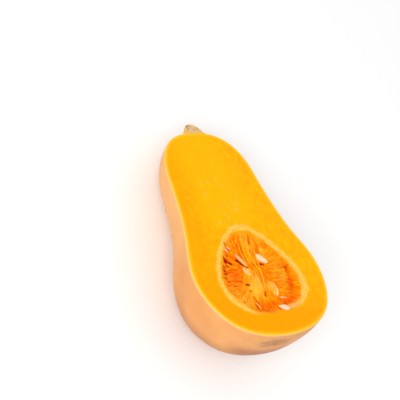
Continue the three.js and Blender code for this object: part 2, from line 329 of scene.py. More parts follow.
def makeSquashHalf():
    half = halfBall("squashHalf", skinPoint, fruit["segments"], fruit["rings"], True)

    def isFace(face):
        return len(face.vertices) > 100

    cutFace = next(face for face in half.data.polygons if isFace(face))
    outline = np.array([half.data.vertices[i].co.xy for i in cutFace.vertices])
    edgeKeys = set(cutFace.edge_keys)
    pick(half, "EDGE", lambda edge: edge.key in edgeKeys)
    bpy.ops.mesh.bevel(offset=fruit["rindEdge"], offset_type="OFFSET", segments=2, affect="EDGES")
    leaveEdit()
    pick(half, "FACE", isFace)
    for width in fruit["rimRings"]:
        bpy.ops.mesh.inset(thickness=width, depth=0, use_even_offset=True)
    bpy.ops.mesh.delete(type="ONLY_FACE")
    leaveEdit()
    wall = halfBall("cavityWall", eggPoint, fruit["segments"], 90, False)
    bpy.ops.object.mode_set(mode="EDIT")
    bpy.ops.mesh.select_all(action="SELECT")
    bpy.ops.mesh.normals_make_consistent(inside=True)
    leaveEdit()
    half = joinAll([half, wall], "squashHalf")
    bpy.ops.object.mode_set(mode="EDIT")
    bpy.ops.mesh.select_mode(type="EDGE")
    bpy.ops.mesh.select_all(action="DESELECT")
    bpy.ops.mesh.select_non_manifold(
        use_wire=False, use_boundary=True, use_multi_face=False, use_non_contiguous=False, use_verts=False
    )
    bpy.ops.mesh.bridge_edge_loops(number_cuts=fruit["faceCuts"], interpolation="LINEAR")
    leaveEdit()
    roundCavityRim(half)
    finishCutFace(half, outline)
    return half


def insideCavity(places, margin):
    # true for places closer to the cavity's axis than its wall, widened by the margin
    span = np.clip((places[:, 1] - cavityMiddle) / ((cavity["end"] - cavity["start"]) / 2 + margin), -1, 1)
    share = np.arccos(-span) / math.pi
    full = np.array([smoothAt(cavity["fullness"], part) for part in share]) + margin
    radius = full * np.sqrt(1 - span ** 2) ** cavity["squareness"]
    axis = np.array([axisAt(y) for y in places[:, 1]])
    return np.hypot(places[:, 0] - axis[:, 0], places[:, 2] - axis[:, 1]) < radius


def roundCavityRim(half):
    faceHeights = {}
    for face in half.data.polygons:
        for key in face.edge_keys:
            faceHeights.setdefault(key, []).append(face.center.z)
    flat = {vertex.index for vertex in half.data.vertices if abs(vertex.co.z) < 1e-3}
    places = points(half)
    near = insideCavity(places, 1.0)

    def isRim(edge):
        a, b = edge.key
        heights = faceHeights[edge.key]
        return a in flat and b in flat and near[a] and near[b] and min(heights) < -0.05 < max(heights)

    pick(half, "EDGE", isRim)
    bpy.ops.mesh.bevel(offset=cavity["rimRound"], offset_type="OFFSET", segments=3, affect="EDGES")
    leaveEdit()


def finishCutFace(half, outline):
    # the knife leaves a face that is not quite even, and the flesh stands a little back from the rind
    places = points(half)
    onFace = (places[:, 2] > -0.5) & ~insideCavity(places, -0.2)
    fromRind = np.where(onFace, distanceToLoop(places[:, :2], outline), 0.0)
    inCavity = insideCavity(places, 0.6)
    fromRind[inCavity] = 22.0
    rim = middleX + rimRadii * np.cos(rimTurns), middleY + rimRadii * np.sin(rimTurns)
    fromCavity = distanceToLoop(places[:, :2], np.stack(rim, axis=1))
    paint(half, "below", np.where(inCavity, -places[:, 2], 0.0))
    paint(half, "fromBand", np.where(onFace | inCavity, fromBandAt(places[:, 0], places[:, 1]), 9.0))
    for i in np.nonzero(onFace & (places[:, 2] > -0.05))[0]:
        spot = Vector(places[i])
        waves = 0.22 * noise.noise(spot / 24) + 0.07 * noise.noise(spot / 5)
        inset = min(fromRind[i] / 1.5, fromCavity[i] / 5, 1.0)
        places[i, 2] -= inset * (0.16 + waves)
    setPoints(half, places)
    paint(half, "fromRind", fromRind)
    centres = np.array([face.center for face in half.data.polygons])
    flesh = (centres[:, 2] > -0.32) | insideCavity(centres, 0.4)
    half.data.polygons.foreach_set("material_index", flesh.astype(np.int32))


def pressFlat(piece):
    # the skin gives where it rests
    places = points(piece)
    places[:, 2] = np.maximum(places[:, 2], lowCorner.z)
    setPoints(piece, places)


squashHalf = makeSquashHalf()
print("half fruit modelled", len(squashHalf.data.polygons), "faces")


# The stem stub

stem = {
    "sunk": 4.0,
    "height": 8.9,
    "cutBelow": 0.45,  # the dry cork has shrunk a little below the cut
    "radii": (12.4, 10.9, 9.6, 8.5, 7.0, 5.3, 3.6),
    "x": 4.2,
    "leanX": -1.4,
    "ridges": 5,
    "ridgeDepth": 1.3,
    "stations": 18,
    "sides": 90,
}


def stemPoint(spot, rise):
    angle = math.atan2(spot.z, spot.x)
    radius = math.hypot(spot.x, spot.z)
    ridge = stem["ridgeDepth"] * (abs(math.cos(stem["ridges"] / 2 * angle + 0.4)) - 0.6)
    grown = (radius + ridge * min(radius / 6, 1.0)) / radius if radius > 0.01 else 1.0
    around = Vector((math.cos(angle) * 3.2, rise * 1.6, math.sin(angle) * 3.2))
    cork = 0.55 * noise.noise(around * 1.9 + Vector((7, 0, 0))) + 0.28 * noise.noise(around * 5.1)
    grown *= 1 + cork / 9 * min(radius / 6, 1.0)
    top = max(0.0, rise - 0.86) / 0.14
    chip = top * (0.1 * radius * math.sin(2 * angle + 1) * min(radius / 5, 1) + 0.8 * noise.noise(spot / 2.2))
    x = spot.x * grown + stem["x"] + stem["leanX"] * rise
    return Vector((x, spot.y + chip, spot.z * grown - fruit["axisDepth"][1]))


def makeStemStub():
    foot = fruit["length"] - stem["sunk"]
    height = stem["sunk"] + stem["height"]
    step = height / stem["stations"]
    radius = stem["radii"][0]
    bpy.ops.mesh.primitive_cylinder_add(
        vertices=stem["sides"], radius=radius, depth=step, end_fill_type="NGON",
        location=(0, foot + step / 2, 0), rotation=(math.radians(-90), 0, 0),
    )
    stub = named("stemStub")
    bpy.ops.object.transform_apply(location=True, rotation=True, scale=True)
    pick(stub, "FACE", lambda face: face.normal.y > 0.9 and len(face.vertices) > 10)
    for i in range(1, stem["stations"]):
        wider = smoothAt(stem["radii"], (i + 1) / stem["stations"]) / radius
        radius *= wider
        bpy.ops.mesh.extrude_region_move(TRANSFORM_OT_translate={"value": (0, step, 0)})
        bpy.ops.transform.resize(value=(wider, 1, wider), center_override=(0, foot + (i + 1) * step, 0))
    for share in (0.1, 0.16, 0.2, 0.25, 0.3):
        bpy.ops.mesh.inset(thickness=share * radius, depth=0)
        radius *= 1 - share
    leaveEdit()
    for vertex in stub.data.vertices:
        vertex.co = stemPoint(vertex.co, (vertex.co.y - foot) / height)
    bpy.ops.object.mode_set(mode="EDIT")
    bpy.ops.mesh.select_all(action="SELECT")
    cutHeight = -stem["cutBelow"]
    bpy.ops.mesh.bisect(
        plane_co=(0, 0, cutHeight), plane_no=(0, 0, 1), use_fill=True, clear_outer=True, threshold=0.01
    )
    leaveEdit()
    pick(stub, "FACE", lambda face: face.normal.z > 0.95 and len(face.vertices) > 20)
    bpy.ops.mesh.inset(thickness=0.25, depth=0, use_even_offset=False)
    leaveEdit()
    for vertex in stub.data.vertices:
        if vertex.co.z > -stem["cutBelow"] - 0.01:
            grain = Vector((vertex.co.x / 0.9, vertex.co.y / 3.0, 0))
            vertex.co.z += 0.3 * noise.noise(grain) - 0.1
    return stub


stemStub = makeStemStub()
print("stem stub modelled", len(stemStub.data.polygons), "faces")


# The seed bed: pulp whose surface follows a field of fibres, loose fibres, threads and seeds

pulp = {
    "segments": 340,
    "rings": 140,
    "wallRings": 16,
    "grownIn": 0.05,  # the pulp has grown together with the wall
    "rimDepth": 0.04,
    "base": 2.9,
    "edgeWidth": 4.0,
    "lump": 0.18,
    "strand": 0.1,
    "filament": 0.05,
    # raised masses and hollows: x, y, reach across and along, turn in degrees, rise
    "masses": (
        (17.0, 86.0, 10.0, 8.0, -23, 1.8),  # the smooth lobe
        (19.2, 52.5, 9.0, 15.0, -18, 2.0),  # the comb
        (-8.6, 46.4, 6.5, 10.5, -34, 1.9),
        (-9.5, 60.6, 4.5, 5.5, -30, 1.0),
        (-27.0, 38.0, 7.0, 8.0, 35, 1.3),
        (0.0, 80.0, 7.0, 22.0, 6, 1.9),
        (35.5, 50.0, 3.6, 16.0, 4, 1.3),
        (-10.0, 88.0, 7.0, 9.0, 15, 1.0),
        (-20.8, 60.4, 7.0, 7.5, 0, -1.2),
        (7.8, 54.3, 3.5, 4.0, 0, -1.4),
        (-4.0, 28.5, 11.0, 5.0, 5, -1.4),
        (18.4, 31.1, 6.5, 3.0, 0, -1.3),
    ),
    # crevices: half width, depth, how much shade is painted in them, and the way they run
    "crevices": (
        (1.7, 1.7, 0.0, ((30.6, 68.0), (31.2, 60.0), (30.9, 53.5), (28.9, 46.5), (26.5, 40.0))),
        (0.8, 3.0, 0.35, ((33.4, 62.8), (31.2, 60.4), (28.9, 57.5))),
        (0.9, 2.6, 0.2, ((27.4, 83.0), (28.4, 80.6))),
        # a hollow along the left seed's lower side and one under the first seed, each with painted shadow in
        # it
        (1.1, 3.0, 0.78, ((-12.6, 74.0), (-10.4, 70.4), (-6.8, 66.6))),
        (0.9, 3.4, 0.8, ((7.6, 67.2), (10.6, 66.6))),
        # a small hole, dark with painted shade
        (0.9, 3.6, 0.8, ((-14.8, 50.3), (-13.2, 49.9))),
        (0.7, 4.2, 0.5, ((-0.2, 42.4), (-1.9, 38.2))),
        (0.7, 2.4, 0.12, ((-3.8, 97.0), (-4.2, 90.6), (-4.9, 80.0))),
        (0.9, 2.4, 0.15, ((7.2, 92.8), (5.6, 89.0), (4.0, 86.0))),
        (0.6, 3.4, 0.55, ((-14.6, 38.6), (-12.6, 34.6), (-11.6, 32.0))),
        (0.6, 3.4, 0.5, ((-12.8, 31.4), (-11.2, 27.4))),
        (0.6, 0.9, 0.22, ((-23.0, 66.0), (-16.6, 65.2))),
        (0.6, 0.9, 0.28, ((-26.4, 55.4), (-19.8, 55.0))),
        (0.6, 0.8, 0.12, ((-26.4, 50.6), (-21.0, 50.8))),
        (0.5, 1.6, 0.35, ((-0.6, 66.6), (3.6, 66.6))),
        (0.7, 2.4, 0.5, ((-19.6, 90.0), (-18.2, 86.6), (-17.0, 83.2))),
        (0.7, 1.6, 0.0, ((11.6, 63.6), (12.6, 57.4), (10.0, 49.4))),
        (0.7, 1.6, 0.0, ((-8.0, 97.6), (-11.4, 92.0), (-12.2, 84.0))),
        (0.5, 1.6, 0.2, ((33.6, 45.0), (35.6, 43.6))),
        (0.5, 1.8, 0.2, ((31.0, 41.0), (33.2, 38.8))),
        (0.5, 1.4, 0.12, ((35.0, 54.0), (37.0, 52.8))),
        # short slits where the pulp has torn away from the wall, dark with painted shade
        (1.3, 3.6, 0.9, ((-25.2, 76.2), (-23.2, 74.2))),
        (1.0, 3.4, 0.9, ((-21.4, 72.6), (-19.8, 71.0))),
        (0.9, 3.4, 0.8, ((-26.2, 72.8), (-25.2, 72.0))),
        (0.8, 3.4, 0.85, ((-28.6, 68.8), (-27.6, 68.2))),
        (0.8, 3.2, 0.7, ((-21.8, 79.0), (-21.0, 78.2))),
        (0.7, 3.2, 0.75, ((-30.0, 66.2), (-29.0, 65.4))),
        (0.8, 3.2, 0.75, ((-30.2, 62.8), (-29.0, 62.2))),
        (0.7, 3.0, 0.7, ((-31.4, 59.2), (-30.4, 58.6))),
        (0.6, 3.0, 0.6, ((-25.6, 70.0), (-23.6, 69.0))),
        (0.6, 2.8, 0.4, ((-27.8, 64.4), (-25.8, 63.8))),
        (0.6, 2.8, 0.4, ((-30.8, 55.6), (-28.6, 55.2))),
        (0.6, 2.8, 0.45, ((-15.2, 44.2), (-14.0, 43.6))),
    ),
    "nicks": 120,
    "nickSeed": 4,
    # paler and redder places: x, y, reach across and along, turn in degrees, and how much
    "tints": (
        (-8.2, 46.4, 6.0, 9.5, -34, 0.95),
        (-3.0, 54.8, 3.0, 4.0, -30, 0.6),
        (-8.6, 60.8, 3.4, 3.6, -30, 0.95),
        (-26.0, 33.5, 6.0, 6.0, 40, 0.35),
        (-15.0, 93.0, 5.0, 5.0, 0, 0.3),
        (18.5, 52.0, 7.0, 11.0, -18, 0.18),
        (19.0, 83.0, 6.0, 4.5, -20, -0.3),
        (13.0, 89.0, 6.0, 4.0, -20, 0.2),
        (14.0, 80.0, 1.8, 2.4, 0, 0.8),
        (5.6, 46.0, 3.0, 2.4, -40, 0.8),
        (35.0, 62.0, 2.0, 8.0, 10, 0.3),
        (0.6, 88.0, 2.4, 12.0, 6, 0.4),
        (-20.8, 60.4, 6.5, 7.0, 0, -0.5),
        (6.8, 54.3, 4.4, 4.6, 0, -0.6),
        (-6.5, 28.5, 7.0, 5.0, 5, -0.4),
        (8.0, 31.6, 12.0, 3.4, 0, -0.3),
        (21.0, 31.5, 5.0, 3.0, 0, -0.6),
        (-15.5, 77.0, 3.4, 4.0, 20, -0.5),
        (-8.5, 84.0, 4.0, 6.0, 0, -0.3),
        (9.0, 80.6, 2.2, 2.6, 0, -0.7),
        (-2.6, 66.0, 2.6, 3.0, 0, -0.5),
        (30.0, 54.0, 2.6, 13.0, -8, -0.9),
        (27.0, 43.0, 2.6, 5.0, -20, -0.8),
        (-30.0, 62.0, 3.0, 14.0, 8, -0.35),
    ),
}


def bell(distance, reach):
    return np.exp(-((distance / reach) ** 2))


def distanceToPath(x, y, path):
    best = np.full(np.shape(x), 1e9)
    for (ax, ay), (bx, by) in zip(path, path[1:]):
        alongX, alongY = bx - ax, by - ay
        share = np.clip(((x - ax) * alongX + (y - ay) * alongY) / (alongX ** 2 + alongY ** 2), 0, 1)
        best = np.minimum(best, np.hypot(x - ax - share * alongX, y - ay - share * alongY))
    return best


def massAt(x, y, mass):
    atX, atY, across, along, turn, _ = mass
    c, s = math.cos(math.radians(turn)), math.sin(math.radians(turn))
    u, v = (x - atX) * c + (y - atY) * s, (y - atY) * c - (x - atX) * s
    return np.clip(1.35 * np.exp(-((u / across) ** 2) - (v / along) ** 2), 0, 1)


def fibreAngle(x, y):
    # which way the fibres run: out to the wall, down from the crown, and across the comb
    flows = (
        (np.arctan2(y - 57, x), 0.12 + 1.1 * np.clip((np.hypot(x, y - 58) / 38.5 - 0.45) / 0.3, 0, 1)),
        (np.arctan2(y - 106, x - 4), 1.3 * bell(x + 1.5, 11) * np.clip((y - 34) / 14, 0, 1)),
        *(
            (np.full(np.shape(x), math.radians(way)),
             weight * np.exp(-(((x - atX) / across) ** 2) - ((y - atY) / along) ** 2))
            for way, weight, atX, atY, across, along in (
                (-8, 2.4, 19, 53, 9, 14),
                (-28, 2.0, 19, 86, 9, 8),
                (-74, 1.6, -15, 31, 8, 9),
                (-12, 1.6, 12, 27, 11, 7),
            )
        ),
    )
    c = sum(weight * np.cos(2 * angle) for angle, weight in flows)
    s = sum(weight * np.sin(2 * angle) for angle, weight in flows)
    return np.arctan2(s, c) / 2


class CavityGrid:
    # values on an even grid over the cavity, read anywhere between

    def __init__(self, pitch):
        self.pitch = pitch
        self.x = np.arange(-43, 43, pitch)
        self.y = np.arange(15, 103, pitch)
        self.gridX, self.gridY = np.meshgrid(self.x, self.y)

    def at(self, x, y):
        column = np.clip((x - self.x[0]) / self.pitch, 0, len(self.x) - 1.001)
        row = np.clip((y - self.y[0]) / self.pitch, 0, len(self.y) - 1.001)
        i, j = column.astype(int), row.astype(int)
        u, v = column - i, row - j
        low = self.values[j, i] * (1 - u) + self.values[j, i + 1] * u
        high = self.values[j + 1, i] * (1 - u) + self.values[j + 1, i + 1] * u
        return low * (1 - v) + high * v


class FibreGrain(CavityGrid):
    # noise smeared along the fibres

    def __init__(self, seed, pitch, grain, reach):
        super().__init__(pitch)
        gridX, gridY = self.gridX, self.gridY
        rows, columns = gridX.shape
        draws = np.random.RandomState(seed).rand(rows // grain + 2, columns // grain + 2)
        rough = np.kron(draws, np.ones((grain, grain)))[:rows, :columns]
        total = np.zeros(gridX.shape)
        for way in (1, -1):
            px, py = gridX.copy(), gridY.copy()
            lastX, lastY = way * np.cos(fibreAngle(px, py)), way * np.sin(fibreAngle(px, py))
            for _ in range(int(reach / pitch)):
                angle = fibreAngle(px, py)
                stepX, stepY = np.cos(angle), np.sin(angle)
                same = np.where(stepX * lastX + stepY * lastY < 0, -1.0, 1.0)
                lastX, lastY = stepX * same, stepY * same
                px, py = px + pitch * lastX, py + pitch * lastY
                column = np.clip(((px - self.x[0]) / pitch).astype(int), 0, columns - 1)
                row = np.clip(((py - self.y[0]) / pitch).astype(int), 0, rows - 1)
                total += rough[row, column]
        self.values = (total - total.mean()) / total.std()


lumps = FibreGrain(3, 0.5, 5, 4.0)
strands = FibreGrain(5, 0.3, 4, 6.5)
filaments = FibreGrain(8, 0.3, 2, 4.0)
print("fibre grain drawn")


def makeNicks():
    # short nicks between the fibres, all over but for the two smooth places, each with a little painted shade
    draw = random.Random(pulp["nickSeed"])
    smooth = (pulp["masses"][0], pulp["masses"][2])
    nicks = []
    while len(nicks) < pulp["nicks"]:
        bearing, out = draw.uniform(0, 2 * math.pi), math.sqrt(draw.random()) * 37
        x, y = out * math.cos(bearing), 58.5 + out * math.sin(bearing)
        half, halfWidth = draw.uniform(0.6, 1.9), draw.uniform(0.35, 0.55)
        depth, darkShade, skew = draw.uniform(0.5, 1.3), draw.uniform(0.08, 0.34), draw.uniform(-0.2, 0.2)
        if float(toRimAt(x, y)) < 3.0 or max(float(massAt(x, y, mass)) for mass in smooth) > 0.45:
            continue
        angle = float(fibreAngle(np.array([x]), np.array([y]))[0]) + skew
        stepX, stepY = half * math.cos(angle), half * math.sin(angle)
        nicks.append((halfWidth, depth, darkShade, ((x - stepX, y - stepY), (x + stepX, y + stepY))))
    return nicks


crevices = [*pulp["crevices"], *makeNicks()]


def slitShadeAt(x, y):
    # how much shade is painted in the slits, from nothing to one
    paintedSlitShade = np.zeros(np.shape(x))
    for halfWidth, _, darkShade, path in crevices:
        if darkShade > 0:
            paintedSlitShade = np.maximum(paintedSlitShade, darkShade * np.minimum(1.25 * bell(distanceToPath(x, y, path), halfWidth), 1))
    return paintedSlitShade


def bedHeight(x, y):
    toRim = toRimAt(x, y)
    nearRim = bell(np.maximum(toRim, 0), pulp["edgeWidth"])
    height = -pulp["rimDepth"] - (pulp["base"] - pulp["rimDepth"]) * (1 - nearRim)
    for mass in pulp["masses"]:
        height = height + mass[-1] * massAt(x, y, mass)
    broken = np.clip(0.85 + 0.3 * filaments.at(x, y), 0.3, 1.3)
    for halfWidth, depth, _, path in crevices:
        height = height - depth * broken * bell(distanceToPath(x, y, path), halfWidth * 1.2)
    smooth = 1 - 0.6 * massAt(x, y, pulp["masses"][0]) - 0.5 * massAt(x, y, pulp["masses"][8])
    smooth = smooth * (1 - 0.4 * massAt(x, y, pulp["masses"][2]))
    grain = pulp["lump"] * lumps.at(x, y) + pulp["strand"] * strands.at(x, y)
    grain = grain + pulp["filament"] * filaments.at(x, y)
    height = height + grain * smooth * np.clip(toRim / 1.5, 0.2, 1)
    return np.minimum(height, -0.02)


def tintAt(x, y):
    # more than nothing where the pulp is paler, less where it is redder
    tint = sum(spot[-1] * massAt(x, y, spot) for spot in pulp["tints"])
    return np.clip(tint, -1, 1)


def makePulp():
    bpy.ops.mesh.primitive_uv_sphere_add(segments=pulp["segments"], ring_count=pulp["rings"], radius=1)
    bed = named("pulp")
    units = points(bed)
    azimuth = np.arctan2(units[:, 1], units[:, 0])
    rise = np.arcsin(np.clip(units[:, 2], -1, 1))
    share = 0.5 + rise / math.pi
    wallShare = pulp["wallRings"] / pulp["rings"]
    found = {}

    def grown(unit):
        return eggPoint(unit, -pulp["grownIn"])

    placed = np.empty_like(units)
    for i, (turn, part) in enumerate(zip(azimuth, share)):
        key = round(turn, 4)
        if key not in found:
            ring = riseAtHeight(grown, turn, -pulp["rimDepth"])
            found[key] = (ring, grown(onUnit(turn, ring)))
        ring, edge = found[key]
        if part <= wallShare:
            placed[i] = grown(onUnit(turn, -math.pi / 2 + part / wallShare * (ring + math.pi / 2)))
        else:
            inwards = 1 - (part - wallShare) / (1 - wallShare)
            placed[i] = (middleX + inwards * (edge.x - middleX), middleY + inwards * (edge.y - middleY), 1.0)
    top = placed[:, 2] > 0.5
    x, y = placed[top, 0], placed[top, 1]
    placed[top, 2] = bedHeight(x, y)
    setPoints(bed, placed)
    tone, tint, rim = np.zeros(len(placed)), np.zeros(len(placed)), np.zeros(len(placed))
    paint(bed, "fromBand", fromBandAt(placed[:, 0], placed[:, 1]))
    tone[top] = 0.5 + 0.15 * strands.at(x, y) + 0.2 * filaments.at(x, y) + 0.1 * lumps.at(x, y)
    tint[top] = tintAt(x, y)
    rim[top] = bell(np.maximum(toRimAt(x, y), 0), 3.0)
    paint(bed, "tone", np.clip(tone, 0, 1))
    paint(bed, "tint", tint)
    paint(bed, "paintedSlitShade", slitShadeAt(placed[:, 0], placed[:, 1]))
    paint(bed, "rim", rim)
    # depth drives the deep pulp's redder colour and the painted shade in its hollows
    paint(bed, "depth", np.clip(-placed[:, 2], 0, 12))
    return bed


pulpBed = makePulp()
bedHeights, bedSlitShades = CavityGrid(0.25), CavityGrid(0.25)
bedHeights.values = bedHeight(bedHeights.gridX, bedHeights.gridY)
bedSlitShades.values = slitShadeAt(bedSlitShades.gridX, bedSlitShades.gridY)
print("pulp modelled", len(pulpBed.data.polygons), "faces")


fibres = {
    "sides": 5,
    "pieces": 9,
    "loose": 320,
    "wall": 64,
    "comb": 26,
    "seed": 21,
}
# the comb's ragged edge over the crevice
combEdge = ((24.4, 37.0), (27.0, 45.5), (28.6, 53.0), (28.9, 58.5), (28.6, 65.0))
# the strands that carried the seeds: radius, then the way they run as x, y and height
seedStrands = (
    (1.1, ((7.6, 103.5, -0.1), (6.3, 98.0, -0.4), (3.2, 89.6, -0.5), (-0.1, 81.0, -0.4), (-1.2, 75.0, -0.4),
           (-0.7, 67.9, -0.4), (1.7, 62.1, -0.6), (2.2, 56.0, -0.9), (0.6, 48.0, -1.0), (-1.6, 41.0, -2.6))),
    (0.95, ((1.6, 103.8, -0.1), (0.4, 98.5, -0.5), (-1.8, 89.9, -0.6), (-4.8, 80.8, -0.5), (-4.8, 73.0, -0.6),
            (-3.8, 66.6, -0.8), (-0.6, 61.6, -1.0), (0.6, 56.2, -2.6))),
    (0.75, ((-4.0, 98.5, -1.2), (-6.6, 87.2, -1.0), (-7.5, 78.0, -1.1), (-7.3, 71.8, -1.3),
            (-6.0, 66.0, -3.2))),
    (0.7, ((9.5, 97.5, -1.2), (6.6, 84.0, -1.0), (4.8, 74.0, -0.6), (4.2, 66.0, -1.0), (3.8, 59.0, -1.4),
           (5.2, 51.0, -2.2))),
    (0.65, ((-3.4, 56.0, -1.1), (-6.6, 52.0, -0.7), (-10.0, 46.0, -0.6), (-12.4, 38.0, -2.0))),
    (0.6, ((2.5, 55.0, -1.5), (5.6, 49.0, -1.2), (6.2, 43.0, -1.4), (4.6, 35.0, -3.0))),
)


def makeFibreModel():
    # one straight fibre, one unit long up Z, closed at both ends
    step = 1 / fibres["pieces"]
    bpy.ops.mesh.primitive_cylinder_add(
        vertices=fibres["sides"], radius=1, depth=step, end_fill_type="NGON", location=(0, 0, step / 2)
    )
    model = named("fibreModel")
    bpy.ops.object.transform_apply(location=True, rotation=True, scale=True)
    pick(model, "FACE", lambda face: face.normal.z > 0.9)
    for _ in range(fibres["pieces"] - 1):
        bpy.ops.mesh.extrude_region_move(TRANSFORM_OT_translate={"value": (0, 0, step)})
    leaveEdit()
    return model


def alongPath(path, share):
    place = share * (len(path) - 1)
    i = min(int(place), len(path) - 2)
    before, after = path[max(i - 1, 0)], path[min(i + 2, len(path) - 1)]
    w = place - i
    slopeA, slopeB = (path[i + 1] - before) / 2, (after - path[i]) / 2
    step = path[i + 1] - path[i]
    spot = path[i] + w * (slopeA + w * (3 * step - 2 * slopeA - slopeB + w * (slopeA + slopeB - 2 * step)))
    return spot


def bendFibre(model, name, path, radius, flat, tone):
    # a copy of the model with its own mesh, led along a path and thinned to its ends
    fibre = model.copy()
    fibre.data = model.data.copy()
    fibre.name = name
    bpy.context.scene.collection.objects.link(fibre)
    path = [Vector(spot) for spot in path]
    for vertex in fibre.data.vertices:
        share = vertex.co.z
        spot = alongPath(path, share)
        ahead = alongPath(path, min(share + 0.02, 1.0)) - alongPath(path, max(share - 0.02, 0.0))
        side = Vector((0, 0, 1)).cross(ahead).normalized()
        rise = ahead.cross(side).normalized()
        thick = radius * (0.12 + 0.88 * math.sin(math.pi * min(max(share, 0.02), 0.98)) ** 0.6)
        vertex.co = spot + side * vertex.co.x * thick + rise * vertex.co.y * thick * flat
    placed = points(fibre)
    paint(fibre, "tone", np.full(len(placed), tone))
    paint(fibre, "tint", tintAt(placed[:, 0], placed[:, 1]))
    # the fibres carry the painted slit shade of the pulp below them
    paint(fibre, "paintedSlitShade", 0.9 * bedSlitShades.at(placed[:, 0], placed[:, 1]))
    paint(fibre, "rim", np.zeros(len(placed)))
    paint(fibre, "fromBand", fromBandAt(placed[:, 0], placed[:, 1]))
    # the fibres take a little of the pulp's painted depth shade
    paint(fibre, "depth", 0.6 * np.clip(-placed[:, 2], 0, 12))
    return fibre


def heightAt(x, y):
    return float(bedHeights.at(np.array([x]), np.array([y]))[0])


def flowPath(x, y, length, way, lift):
    # follows the fibres from a place on the pulp, in seven steps
    spots = []
    step = length / 6
    lastX, lastY = 0.0, 0.0
    for i in range(7):
        arch = lift * math.sin(math.pi * i / 6)
        sunk = -0.35 if i in (0, 6) else 0.0
        spots.append((x, y, min(heightAt(x, y) + 0.03 + arch + sunk, -0.08)))
        angle = float(fibreAngle(np.array([x]), np.array([y]))[0])
        stepX, stepY = way * math.cos(angle), way * math.sin(angle)
        if stepX * lastX + stepY * lastY < 0:
            stepX, stepY = -stepX, -stepY
        lastX, lastY = stepX, stepY
        x, y = x + step * stepX, y + step * stepY
    return spots


def makeFibres():
    draw = random.Random(fibres["seed"])
    model = makeFibreModel()
    made = []
    while len(made) < fibres["loose"]:
        bearing, out = draw.uniform(0, 2 * math.pi), math.sqrt(draw.random()) * 36.5
        x, y = out * math.cos(bearing), 58.5 + out * math.sin(bearing)
        length, lift = draw.uniform(5, 14), draw.uniform(0.0, 0.12)
        radius, way = draw.uniform(0.2, 0.38), draw.choice((-1, 1))
        tone, flat = draw.uniform(0.25, 0.95), draw.uniform(0.35, 0.6)
        path = flowPath(x, y, length, way, lift)
        if min(float(toRimAt(spot[0], spot[1])) for spot in path) < 0.3:
            continue
        made.append(bendFibre(model, "fibre", path, radius, flat, tone))
    # threads that run in from the wall
    for _ in range(fibres["wall"]):
        bearing = math.radians(draw.uniform(80, 250) if draw.random() < 0.6 else draw.uniform(-70, 80))
        outer = float(np.interp(bearing, rimTurns, rimRadii, period=2 * math.pi)) - 0.4
        length, skew = draw.uniform(5, 10), draw.uniform(-0.12, 0.02)
        path = []
        for i in range(5):
            out, turned = outer - length * i / 4, bearing + skew * i / 4
            x, y = middleX + out * math.cos(turned), middleY + out * math.sin(turned)
            path.append((x, y, min(max(heightAt(x, y), -3.4) + 0.05, -0.15)))
        radius, tone = draw.uniform(0.25, 0.42), draw.uniform(0.6, 0.9)
        made.append(bendFibre(model, "wallThread", path, radius, 0.5, tone))
    edge = [Vector((x, y, 0)) for x, y in combEdge]
    for i in range(fibres["comb"]):
        spot = alongPath(edge, i / (fibres["comb"] - 1))
        length = draw.uniform(7, 11)
        start = (spot.x - length, spot.y + 0.12 * length, -1.7)
        middle = (spot.x - 0.5 * length, spot.y + 0.06 * length, -0.85)
        end = (spot.x + draw.uniform(0.0, 1.3), spot.y - draw.uniform(0, 0.5), -draw.uniform(1.0, 2.0))
        made.append(bendFibre(model, "combTooth", (start, middle, end), draw.uniform(0.3, 0.5), 0.5,
                              draw.uniform(0.4, 1.0)))
    for radius, path in seedStrands:
        made.append(bendFibre(model, "seedStrand", path, radius, 0.42, 0.6 + 0.34 * radius))
    bpy.data.objects.remove(model)
    return joinAll(made, "pulpFibres")


pulpFibres = makeFibres()
print("fibres modelled", len(pulpFibres.data.polygons), "faces")


seedShape = {"length": 15.0, "width": 8.6, "thickness": 2.7, "segments": 44, "rings": 22}
# the seeds that show: place, the way the point lies, the roll on to an edge, the tip, and the size,
# then how much pulp clings to it, the side that is bare of it, and how far out that side begins
seedPlaces = (
    (10.6, 71.4, -2.0, -126, -9, -5, 0.88, 0.8, 228, -0.24),
    (-9.3, 72.9, -3.2, -153, -44, 0, 1.0, 0.62, 80, 0.9),
    (-8.3, 61.0, -2.6, -150, -8, 3, 0.74, 0.72, 115, 0.6),
    (9.9, 24.8, -1.7, 70, 20, 0, 0.74, 0.1, 90, -1.0),
    (19.0, 25.4, -2.0, -77, -34, 0, 0.78, 0.8, 180, 0.75),
    (14.2, 34.4, -3.1, -102, -51, 0, 0.5, 0.45, 90, 0.9),
    (7.6, 43.0, -2.3, -166, 24, 0, 0.92, 1.4, -24, 0.3),
    (-20.0, 84.3, -2.2, -151, -28, 0, 0.46, 0.45, 90, 0.9),
    (-16.9, 85.4, -2.2, -151, -28, 0, 0.32, 0.6, 90, 0.9),
    (-13.1, 30.4, -3.0, -164, -46, 0, 0.5, 0.85, 90, 0.9),
)


def seedPoint(unit):
    # an oval drawn out to a point at +Y, with a raised margin round both faces
    azimuth = math.atan2(unit.y, unit.x)
    out = math.hypot(unit.x, unit.y)
    taper = 1 - 0.24 * math.sin(azimuth) - 0.16 * max(math.sin(azimuth), 0) ** 3
    x = math.cos(azimuth) * seedShape["width"] / 2 * taper
    y = math.sin(azimuth) * seedShape["length"] / 2
    body = math.sqrt(max(1 - out ** 5, 0)) * (1 - 0.22 * math.exp(-(((out - 0.84) / 0.07) ** 2)))
    rise = seedShape["thickness"] / 2 * (0.78 * body + 0.22 * math.sqrt(max(1 - out ** 14, 0)))
    return Vector((x * out, y * out, math.copysign(rise, unit.z) if abs(unit.z) > 1e-6 else 0.0))


